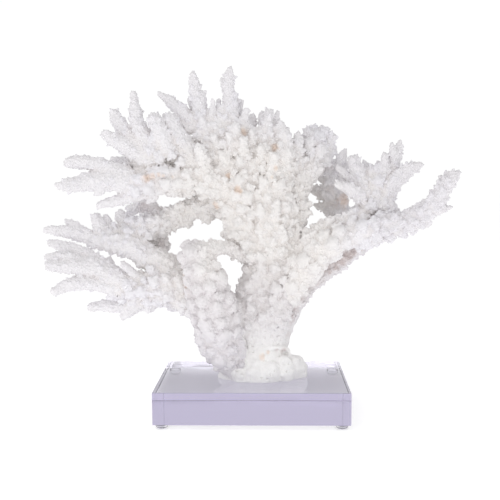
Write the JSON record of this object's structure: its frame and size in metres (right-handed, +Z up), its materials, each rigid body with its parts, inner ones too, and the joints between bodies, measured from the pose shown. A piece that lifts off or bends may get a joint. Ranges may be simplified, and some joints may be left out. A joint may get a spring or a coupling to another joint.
{
  "type": "branching coral on acrylic block",
  "caption": "Bleached branching coral with a thick trunk, fanned fingers and side sprays, standing on a clear acrylic block with small clear bumper feet.",
  "frame": {"origin": "middle of the bounding box, on the surface that the bumper feet stand on", "axes": "+X along the long side of the block and the widest spread of the coral, +Y from front to back, +Z up"},
  "size_m": [0.328, 0.1164, 0.2811],
  "materials": {
    "coral": "dry bleached coral skeleton, finely porous, matte white with warm crevices",
    "acrylic": "clear cast acrylic, polished, with a faint lavender tint",
    "bumper": "clear soft polyurethane"
  },
  "bodies": {
    "root": {"acrylic_block": "acrylic", "bumper_front_left": "bumper", "bumper_front_right": "bumper", "bumper_back_left": "bumper", "bumper_back_right": "bumper", "coral_foot": "coral", "coral_centre_fan": "coral", "coral_front_column": "coral", "coral_lower_left_spray": "coral", "coral_middle_left_branch": "coral", "coral_upper_left_branch": "coral", "coral_crown": "coral", "coral_club_branch": "coral", "coral_right_arm": "coral", "coral_right_back_stem": "coral", "coral_right_spray": "coral", "coral_far_right_branch": "coral", "coral_back_branch": "coral"}
  },
  "joints": []
}
